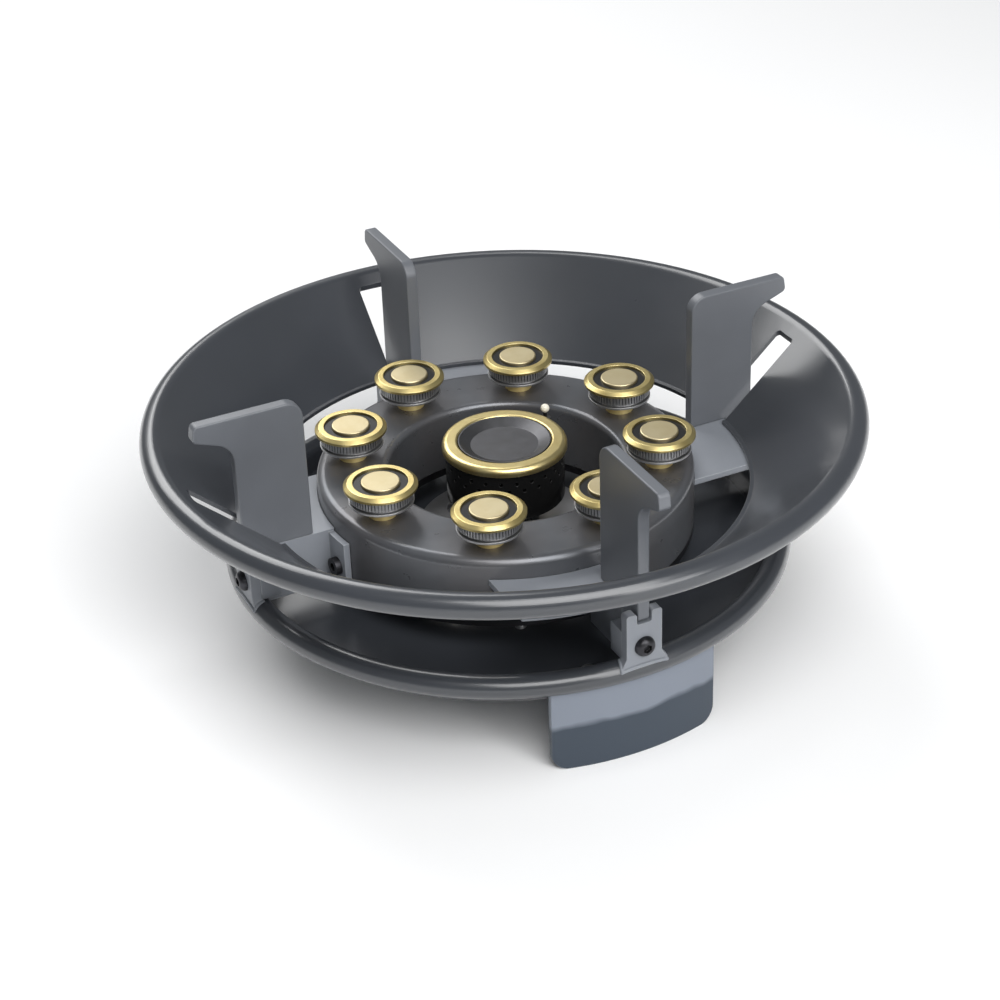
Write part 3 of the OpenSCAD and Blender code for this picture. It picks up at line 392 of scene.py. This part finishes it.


# The tab's two tones are a painted reflection of the room, not two coats.
tab_painted_reflection = reflection_painted_coat("tab_painted_reflection", line=24 * MM, soft=3 * MM, wave=9 * MM)
print("coat", tab_painted_reflection.name)

# %% [markdown]
# The burner body is cast, turned on its outside and top, and blackened. The blacking is part
# metal and part oxide, so it mirrors the studio only faintly and scatters the rest. The lathe
# leaves rings about half a millimetre apart, and brown is painted on the iron near the jets as
# a painted reflection of their brass.

# %% Blacken the burner iron
BRASS_REFLECTION_REACH = 18 * MM
BRASS_REFLECTION_CORE = 1.6
BRASS_REFLECTION_SHARE = 0.35


def burner_iron(name):
    """Turned and blackened cast iron."""
    finish = Finish(name)
    deep = (0.1, 0.105, 0.115, 1)
    light = (0.15, 0.156, 0.168, 1)
    reflected_brown = (0.13, 0.11, 0.1, 1)
    # Brown painted near each jet: a painted reflection of the brass in the iron.
    painted_brass_reflection = clamp(finish, BRASS_REFLECTION_CORE - jet_radius(finish) / BRASS_REFLECTION_REACH) * BRASS_REFLECTION_SHARE
    black = blend(finish, cloud(finish, size=30 * MM, detail=4.0), deep, light)
    black = blend(finish, painted_brass_reflection, black, reflected_brown)
    rings = turning(finish, burner_radius(finish), pitch=0.5 * MM)
    return finish.surface({
        "Base Color": rubbed(finish, black, grey(0.3), radius=0.8 * MM, share=0.45),
        "Metallic": 0.5,
        "Roughness": mottled(finish, 0.3, swing=0.16, size=9 * MM, detail=5.0),
        "Normal": relief(finish, rings, depth=0.01 * MM, radius=0.7 * MM),
    })


iron = burner_iron("burner_iron")
print("iron", iron.name)

# %% [markdown]
# Brass is the hob's bright colour. Each jet and the cap are turned, so their rings follow their
# own axes, and the metal tarnishes to a deeper gold in patches and stays pale on rubbed edges.
# The stems are dulled by the flame, so they are only half metal, and their gold is paler and
# brighter than the jets': painted light in the shade under the heads.

# %% Turn the brass
GOLD = (0.8, 0.66, 0.3, 1)
DEEP_GOLD = (0.6, 0.45, 0.16, 1)
# The stems' two golds are brightened copies of the brass: painted light for the shade under the
# heads.
LIT_STEM_GOLD = (0.95, 0.78, 0.36, 1)
LIT_DEEP_STEM_GOLD = (0.85, 0.6, 0.22, 1)
BUTTON_GOLD = (0.61, 0.53, 0.34, 1)
DEEP_BUTTON_GOLD = (0.53, 0.44, 0.25, 1)
CAP_GOLD = (0.78, 0.65, 0.32, 1)
DEEP_CAP_GOLD = (0.6, 0.46, 0.18, 1)
RUBBED_GOLD = (0.93, 0.82, 0.52, 1)
TARNISH_START = 0.35
TARNISH_GAIN = 1.6


def turned_brass(name, radius, gloss, pale, deep, metal=1.0):
    """Turned brass with its rings about an axis."""
    finish = Finish(name)
    rings = turning(finish, radius(finish), pitch=0.35 * MM)
    patches = cloud(finish, size=8 * MM, detail=4.0)
    tarnish = clamp(finish, (patches - TARNISH_START) * TARNISH_GAIN)
    colour = blend(finish, tarnish, pale, deep)
    return finish.surface({
        "Base Color": rubbed(finish, colour, RUBBED_GOLD, radius=0.5 * MM, share=0.5),
        "Metallic": metal,
        "Roughness": swayed(gloss, rings, swing=0.1),
        "Normal": relief(finish, rings, depth=0.012 * MM, radius=0.4 * MM),
    })


jet_brass = turned_brass("jet_brass", jet_radius, 0.34, GOLD, DEEP_GOLD)
# The stems' brighter gold is painted light in the shade under the jet heads.
stem_brass_painted_lit = turned_brass("stem_brass_painted_lit", jet_radius, 0.4, LIT_STEM_GOLD, LIT_DEEP_STEM_GOLD, metal=0.5)
button_brass = turned_brass("button_brass", jet_radius, 0.45, BUTTON_GOLD, DEEP_BUTTON_GOLD)
cap_brass = turned_brass("cap_brass", burner_radius, 0.34, CAP_GOLD, DEEP_CAP_GOLD)
fitting_brass = turned_brass("fitting_brass", burner_radius, 0.3, GOLD, DEEP_GOLD)
print("brass ready")

# %% [markdown]
# The jet heads are steel, slotted by a saw, and painted shade darkens their slots and every other
# narrow place of the steel. It isn't drawn slot by slot: the Ambient Occlusion node finds every
# narrow place by itself. The pot and the black rings are enamelled, and enamel is glass, so it is
# nearly black with one sharp gloss.

# %% Finish steel, enamel and the cap's disc
NARROW = 2 * MM
PAINTED_SHADE_GAIN = 1.4
PAINTED_SHADE_TONE = 0.02
ENAMEL_EDGE = 0.09


def painted_shade_steel(name, radius, tone, gloss, painted_shade):
    """Bare steel, with painted shade in its narrow places."""
    finish = Finish(name)
    reach = {"Distance": NARROW}
    open_air = finish.node("ShaderNodeAmbientOcclusion", {"samples": NODE_SAMPLES}, reach, "AO")
    # Painted shade: the colour darkens where the Ambient Occlusion node finds narrow places.
    painted_shade_share = clamp(finish, (1 - open_air) * PAINTED_SHADE_GAIN) * painted_shade
    patches = cloud(finish, size=6 * MM, detail=4.0)
    steel = blend(finish, patches, grey(tone * 0.8), grey(tone * 1.15, blue=0.01))
    colour = blend(finish, painted_shade_share, steel, grey(PAINTED_SHADE_TONE))
    rings = turning(finish, radius(finish), pitch=0.4 * MM)
    return finish.surface({
        "Base Color": rubbed(finish, colour, grey(tone * 1.7), radius=0.4 * MM, share=0.5),
        "Metallic": 0.92,
        "Roughness": mottled(finish, gloss, swing=0.12, size=5 * MM, detail=3.0),
        "Normal": relief(finish, rings, depth=0.008 * MM, radius=0.3 * MM),
    })


def enamel(name, tone, gloss):
    """Glossy black enamel with a slight orange peel."""
    finish = Finish(name)
    peel = cloud(finish, size=1.6 * MM)
    return finish.surface({
        "Base Color": rubbed(finish, grey(tone), grey(ENAMEL_EDGE), radius=0.3 * MM, share=0.3),
        "Roughness": mottled(finish, gloss, swing=0.08, size=12 * MM, detail=4.0),
        "Normal": relief(finish, peel, depth=0.012 * MM, radius=0.3 * MM),
    })


head_steel = painted_shade_steel("head_steel", jet_radius, tone=0.5, gloss=0.4, painted_shade=0.55)
disc_steel = painted_shade_steel("disc_steel", burner_radius, tone=0.11, gloss=0.42, painted_shade=0.2)
plain_steel = painted_shade_steel("plain_steel", burner_radius, tone=0.42, gloss=0.34, painted_shade=0.5)
dark_steel = painted_shade_steel("dark_steel", burner_radius, tone=0.05, gloss=0.36, painted_shade=0.6)
pot_enamel = enamel("pot_enamel", tone=0.008, gloss=0.14)
port_enamel = enamel("port_enamel", tone=0.01, gloss=0.3)
print("steel and enamel ready")

# %% [markdown]
# The last finishes are for small and hidden things: die-cast tubes with a sandy skin, the copper
# of the flame sensor, and the spark electrode. The electrode is a dark wire with a pale ceramic
# ball at its tip, and it stands in a ceramic insulator whose top, next to the flame, is sooted.

# %% Finish the castings, the ceramic and the copper
BALL_HEIGHT = 4.4 * MM
SOOT_HEIGHT = 7 * MM
PALE_CERAMIC = (0.74, 0.7, 0.6, 1)
COPPER = (0.75, 0.42, 0.26, 1)
DEEP_COPPER = (0.5, 0.25, 0.15, 1)


def die_cast(name, tone, gloss):
    """Sandy die-cast aluminium."""
    finish = Finish(name)
    grain = cloud(finish, size=0.7 * MM, detail=3.0)
    patches = cloud(finish, size=18 * MM, detail=4.0)
    tint = blend(finish, patches, grey(tone * 0.8), grey(tone * 1.1, blue=0.01))
    return finish.surface({
        "Base Color": rubbed(finish, tint, grey(tone * 1.6), radius=0.6 * MM, share=0.5),
        "Metallic": 0.85,
        "Roughness": swayed(gloss, grain, swing=0.2),
        "Normal": relief(finish, grain, depth=0.05 * MM, radius=0.6 * MM),
    })


def smooth_skin(finish):
    """The faint waves of a drawn or glazed skin."""
    waves = cloud(finish, size=1.2 * MM)
    return relief(finish, waves, depth=0.01 * MM, radius=0.3 * MM)


def drawn_copper(name, pale, deep):
    """Drawn copper with a soft sheen."""
    finish = Finish(name)
    return finish.surface({
        "Base Color": blend(finish, cloud(finish, size=4 * MM, detail=3.0), pale, deep),
        "Metallic": 1.0,
        "Roughness": mottled(finish, 0.32, swing=0.1, size=3 * MM),
        "Normal": smooth_skin(finish),
    })


def two_tone(name, line, soft, below, above, metal_below):
    """One finish below a height and another above it, soft metres apart."""
    finish = Finish(name)
    share = clamp(finish, (along(finish, 2) - line) / soft)
    dust = mottled(finish, 0.975, swing=0.25, size=2 * MM, detail=3.0)
    dusted = {0: blend(finish, share, below, above), 3: dust}
    return finish.surface({
        "Base Color": finish.node("ShaderNodeVectorMath", {"operation": "SCALE"}, dusted),
        "Metallic": (1 - share) * metal_below,
        "Roughness": mottled(finish, 0.3, swing=0.1, size=3 * MM),
        "Normal": smooth_skin(finish),
    })


cast_aluminium = die_cast("cast_aluminium", tone=0.42, gloss=0.45)
soot_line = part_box("electrode_insulator")[1].z - SOOT_HEIGHT
ball_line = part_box("electrode_wire")[1].z - BALL_HEIGHT
ceramic = two_tone("ceramic", soot_line, 3 * MM, PALE_CERAMIC, grey(0.025), metal_below=0.0)
spark_wire = two_tone("spark_wire", ball_line, 0.2 * MM, grey(0.05), PALE_CERAMIC, metal_below=0.8)
copper = drawn_copper("copper", COPPER, DEEP_COPPER)
print("castings ready")

# %% [markdown]
# Each node keeps its shape and takes one finish. A table of name and finish is easier to check
# than sixty assignments, and the names with a number are matched by how they start.

# %% Dress the nodes
FINISHES = {
    "wind_shield": shield_coat,
    "pan_support": plate_coat,
    "pan": pan_coat,
    "foot_tab": tab_painted_reflection,
    "tab_rivets": plain_steel,
    "support_bracket": arm_coat,
    "carrier_arm": arm_coat,
    "bracket_bolts": dark_steel,
    "arm_screws": dark_steel,
    "burner_body": iron,
    "burner_base_plate": dark_steel,
    "base_plate_screws": plain_steel,
    "jet_stem": stem_brass_painted_lit,
    "jet_head": head_steel,
    "jet_rings": jet_brass,
    "jet_port_rings": port_enamel,
    "jet_buttons": button_brass,
    "centre_pot": pot_enamel,
    "centre_mixing_tube": cast_aluminium,
    "outer_mixing_tube": cast_aluminium,
    "tube_bridge": plain_steel,
    "underside_screws": plain_steel,
    "centre_injector": fitting_brass,
    "outer_injector": fitting_brass,
    "gas_manifold": fitting_brass,
    "manifold_plug": fitting_brass,
    "gas_inlet": fitting_brass,
    "electrode_insulator": ceramic,
    "electrode_wire": spark_wire,
    "thermocouple": copper,
    "centre_shutter": plain_steel,
    "outer_shutter": plain_steel,
    "cap_ring": cap_brass,
    "cap_disc": disc_steel,
}


def finish_of(name):
    """The finish whose key is the longest start of the node's name."""
    return FINISHES[max((key for key in FINISHES if name.startswith(key)), key=len)]


def dress(piece, material):
    """Gives the whole piece one material."""
    piece.data.materials.clear()
    piece.data.materials.append(material)


for name, node in nodes.items():
    dress(node, finish_of(name))
print("dressed", len(nodes), "nodes")

# %% [markdown]
# A plate that is cut, sanded and coated has no knife edges. A shader can fake that up close, but
# an outline against the light shows the truth, so the plates are rounded in the mesh. A node's own
# mesh is never changed, so the work is done on a copy: its loose triangles are merged, flat faces
# are joined up, and a Bevel modifier rounds each edge that is sharper than thirty degrees. The
# normals are then weighted by area, or the roundings would bend the shading of the flats.

# %% Break the edges of the plates
MERGE = 0.001 * MM
FLAT = math.radians(0.5)
SHARP = math.radians(30)
SMOOTH = math.radians(32)
PLATE_STEPS = 3
PLATES = {
    "pan_support": 0.7 * MM,
    "support_bracket": 0.5 * MM,
    "carrier_arm": 0.4 * MM,
    "foot_tab": 0.4 * MM,
}


def pick(piece):
    """Selects one object and nothing else."""
    bpy.ops.object.select_all(action="DESELECT")
    piece.select_set(True)
    bpy.context.view_layer.objects.active = piece


def stands_for(piece, name):
    """The piece takes a node's place, body and finish."""
    dress(piece, finish_of(name))
    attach(piece, nodes[name]["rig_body"])
    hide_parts(name)


def copy_of(name):
    """A merged copy of a node's mesh, as a new piece in the same place."""
    piece = bpy.data.objects.new(name + "_softened", nodes[name].data.copy())
    bpy.context.scene.collection.objects.link(piece)
    pick(piece)
    bpy.ops.object.mode_set(mode="EDIT")
    bpy.ops.mesh.select_all(action="SELECT")
    bpy.ops.mesh.remove_doubles(threshold=MERGE)
    bpy.ops.mesh.dissolve_limited(angle_limit=FLAT)
    bpy.ops.object.mode_set(mode="OBJECT")
    return piece


def round_edges(piece, width, steps):
    """Rounds every edge of the piece that is sharper than SHARP."""
    pick(piece)
    rounding = piece.modifiers.new("rounding", "BEVEL")
    rounding.limit_method = "ANGLE"
    rounding.angle_limit = SHARP
    rounding.width = width
    rounding.segments = steps
    bpy.ops.object.modifier_apply(modifier=rounding.name)


def smooth(piece):
    """Shades the roundings smooth and lets the large faces stay flat."""
    pick(piece)
    bpy.ops.object.shade_smooth_by_angle(angle=SMOOTH)
    weights = piece.modifiers.new("weights", "WEIGHTED_NORMAL")
    weights.keep_sharp = True
    bpy.ops.object.modifier_apply(modifier=weights.name)


for key, width in PLATES.items():
    for name in sorted(nodes):
        if name.startswith(key):
            plate = copy_of(name)
            round_edges(plate, width, PLATE_STEPS)
            smooth(plate)
            stands_for(plate, name)
            print(plate.name, len(plate.data.polygons), "faces")

# %% [markdown]
# The gas inlet ends in a pipe thread, half an inch in the trade's terms. A thread is a tooth that
# climbs one pitch in each turn, so the tooth's outline, exactly one pitch long, goes through the
# Screw modifier: the end of each turn meets the start of the next, and the skin is closed. Two
# spare turns are wound, and two cuts then make the ends flat.

# %% Cut the thread of the gas inlet
THREAD_PITCH = 1.814 * MM
THREAD_DEPTH = 1.16 * MM
THREAD_LAND = 0.3 * MM
THREAD_SIDES = 64
SPARE_TURNS = 2
inlet_mount = next(m for m in frame["record"]["mounts"] if m["name"] == "gas_inlet_thread")
inlet_low, inlet_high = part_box("gas_inlet")
INLET_AXIS = Vector((0, (inlet_low.y + inlet_high.y) / 2, (inlet_low.z + inlet_high.z) / 2))
THREAD_R = inlet_mount["dims"]["r_mm"] * MM
THREAD_L = inlet_mount["dims"]["length_mm"] * MM
thread_start = inlet_high.x - THREAD_L
tooth = [
    (-THREAD_PITCH / 2, 0, THREAD_R - THREAD_DEPTH),
    (-THREAD_LAND / 2, 0, THREAD_R),
    (THREAD_LAND / 2, 0, THREAD_R),
    (THREAD_PITCH / 2, 0, THREAD_R - THREAD_DEPTH),
]


def from_line(name, points):
    """A new piece that is a line through the points."""
    mesh = bpy.data.meshes.new(name)
    mesh.from_pydata(points, [(i, i + 1) for i in range(len(points) - 1)], [])
    piece = bpy.data.objects.new(name, mesh)
    bpy.context.scene.collection.objects.link(piece)
    pick(piece)
    return piece


def cut_flat(x, outwards):
    """Cuts the mesh in edit mode at x, keeps the other side and closes the cut."""
    bpy.ops.mesh.select_all(action="SELECT")
    plane = {"plane_co": (x, 0, 0), "plane_no": (outwards, 0, 0)}
    bpy.ops.mesh.bisect(use_fill=True, clear_outer=True, **plane)


def put_down(piece):
    """Moves the piece's place into its mesh."""
    pick(piece)
    bpy.ops.object.transform_apply(location=True, rotation=True, scale=True)


thread = from_line("gas_inlet_threaded", tooth)
turns = math.ceil(THREAD_L / THREAD_PITCH) + SPARE_TURNS
winding = thread.modifiers.new("winding", "SCREW")
winding.axis = "X"
winding.angle = math.tau
winding.screw_offset = THREAD_PITCH
winding.iterations = turns
winding.steps = THREAD_SIDES
winding.render_steps = THREAD_SIDES
winding.use_merge_vertices = True
bpy.ops.object.modifier_apply(modifier=winding.name)
thread.location = INLET_AXIS + Vector((thread_start - THREAD_PITCH, 0, 0))
put_down(thread)
bpy.ops.object.mode_set(mode="EDIT")
cut_flat(thread_start - THREAD_LAND, -1)
cut_flat(inlet_high.x, 1)
bpy.ops.mesh.select_all(action="SELECT")
bpy.ops.mesh.remove_doubles(threshold=MERGE)
bpy.ops.mesh.normals_make_consistent(inside=False)
bpy.ops.object.mode_set(mode="OBJECT")
print("thread", turns, "turns,", len(thread.data.polygons), "faces")

# %% [markdown]
# The collar comes from the node itself: its copy holds the hexagon, the root that screws into the
# manifold and the bore. Only the plain pin has to go, so a block mills it away from the thread's
# start. Then the thread is joined on, and a drill clears the bore. Each step is a boolean, and the
# block and the drill are longer than what they cut.

# %% Join the collar to the thread
BORE_R = 3.6 * MM
COLLAR_EDGE = 0.4 * MM
COLLAR_STEPS = 2
TOOL_L = 4 * THREAD_L


def combine(piece, other, operation):
    """Joins another closed shape to the piece, or cuts it away."""
    pick(piece)
    joint = piece.modifiers.new("joint", "BOOLEAN")
    joint.operation = operation
    joint.solver = "EXACT"
    joint.object = other
    bpy.ops.object.modifier_apply(modifier=joint.name)
    bpy.data.objects.remove(other)


collar = copy_of("gas_inlet")
block_at = INLET_AXIS + Vector((thread_start + TOOL_L / 2, 0, 0))
bpy.ops.mesh.primitive_cube_add(size=TOOL_L, location=block_at)
block = bpy.context.object
put_down(block)
combine(collar, block, "DIFFERENCE")
round_edges(collar, COLLAR_EDGE, COLLAR_STEPS)
combine(thread, collar, "UNION")
bpy.ops.mesh.primitive_cylinder_add(radius=BORE_R, depth=TOOL_L, vertices=THREAD_SIDES)
drill = bpy.context.object
drill.rotation_euler = (0, math.pi / 2, 0)
drill.location = INLET_AXIS + Vector((inlet_high.x, 0, 0))
put_down(drill)
combine(thread, drill, "DIFFERENCE")
smooth(thread)
stands_for(thread, "gas_inlet")
print("inlet", len(thread.data.polygons), "faces")

# %% [markdown]
# The brackets are welded to the pan's rim. A weld is a row of pools that froze one after another,
# so it is built the same way: balls are set along the joint, each over the last, and a voxel
# remesh melts them into one closed bead with ripples. One bead is made, and each bracket gets a
# copy of it, turned into place.

# %% Lay the welds
BEAD_R = 1.0 * MM
BEAD_STEP = 0.9 * MM
BEAD_VOXEL = 0.24 * MM
BEAD_BACK = 1.5 * MM
BEAD_UNDER = 0.5 * MM
BEAD_SIDES = 16
SUPPORTS = 4
ROLL_TUBE = 5.65 * MM
pan_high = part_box("pan")[1]
bracket_low, bracket_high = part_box("support_bracket_1")
roll_middle = pan_high.x - ROLL_TUBE
roll_height = pan_high.z - ROLL_TUBE


def on_roll(x, y):
    """The point of the rolled rim above a place, on the +X side."""
    out = math.hypot(x, y) - roll_middle
    return Vector((x, y, roll_height + math.sqrt(max(ROLL_TUBE ** 2 - out ** 2, 0))))


def between(start, end, step):
    """Places from start to end, a step apart."""
    count = max(1, round((end - start).length / step))
    return [start.lerp(end, i / count) for i in range(count + 1)]


foot = bracket_high.y - BEAD_UNDER
front = bracket_high.x
corners = [
    Vector((bracket_low.x, BEAD_BACK - foot)),
    Vector((front, -foot)),
    Vector((front, foot)),
    Vector((bracket_low.x, foot - BEAD_BACK)),
]
ball = {"radius": BEAD_R, "segments": BEAD_SIDES, "ring_count": BEAD_SIDES // 2}
pools = []
for start, end in zip(corners, corners[1:]):
    for spot in between(start, end, BEAD_STEP):
        bpy.ops.mesh.primitive_uv_sphere_add(location=on_roll(*spot), **ball)
        pools.append(bpy.context.object)
bead = pools[0]
pick(bead)
for pool in pools:
    pool.select_set(True)
bpy.ops.object.join()
put_down(bead)
melt = bead.modifiers.new("melt", "REMESH")
melt.mode = "VOXEL"
melt.voxel_size = BEAD_VOXEL
melt.use_smooth_shade = True
bpy.ops.object.modifier_apply(modifier=melt.name)
for k in range(SUPPORTS):
    weld = bead.copy()
    weld.data = bead.data.copy()
    weld.name = "weld_" + str(k + 1)
    bpy.context.scene.collection.objects.link(weld)
    weld.rotation_euler = (0, 0, k * math.tau / SUPPORTS)
    put_down(weld)
    dress(weld, arm_coat)
    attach(weld, "base")
print("bead", len(bead.data.polygons), "faces")
bpy.data.objects.remove(bead)

# %% [markdown]
# The floor is a plain pale sheet that runs out of the picture. The light is soft: one window
# above and behind, which lights everything that lies flat, one above the camera, which draws the
# long gloss on the rims, and one low at the front right, which reaches under the shield. The
# faces that look left stay in shade. A dim room lies all round, because polished metal only shows
# what it reflects. The picture is shown in plain sRGB, as a photograph of goods on white is, so
# that the brass keeps its yellow.

# %% Build the studio
FLOOR_SIDE = 8.0
PAPER_DRIFT = 0.5
MIDDLE = Vector((0, 0, 0.09))
ROOM_COLOUR = (0.92, 0.96, 1, 1)
ROOM_STRENGTH = 0.2
bpy.ops.mesh.primitive_plane_add(size=FLOOR_SIDE, location=(0, 0, 0))
floor = bpy.context.object
floor.name = "studio_floor"
paper = Finish("studio_paper")
paper_tone = blend(paper, cloud(paper, PAPER_DRIFT), grey(0.9), grey(0.94))
dress(floor, paper.surface({"Base Color": paper_tone, "Roughness": 0.9}))


def window(name, stand, width, power):
    """A square soft light, turned to the middle of the hob."""
    bpy.ops.object.light_add(type="AREA", location=stand)
    lamp = bpy.context.object
    lamp.name = name
    lamp.data.size = width
    lamp.data.energy = power
    lamp.rotation_euler = (MIDDLE - stand).to_track_quat("-Z", "Y").to_euler()


window("window_behind", turned((-0.7, 1.2, 1.45)), width=1.3, power=24)
window("window_high", turned((0.35, -1.0, 1.35)), width=1.3, power=30)
window("window_low", turned((1.3, -1.4, 0.7)), width=0.8, power=10)
world = bpy.data.worlds.new("room")
bpy.context.scene.world = world
bpy.context.scene.view_settings.view_transform = "Standard"
world.use_nodes = True
room = world.node_tree.nodes["Background"]
room.inputs["Color"].default_value = ROOM_COLOUR
room.inputs["Strength"].default_value = ROOM_STRENGTH
print("studio ready")
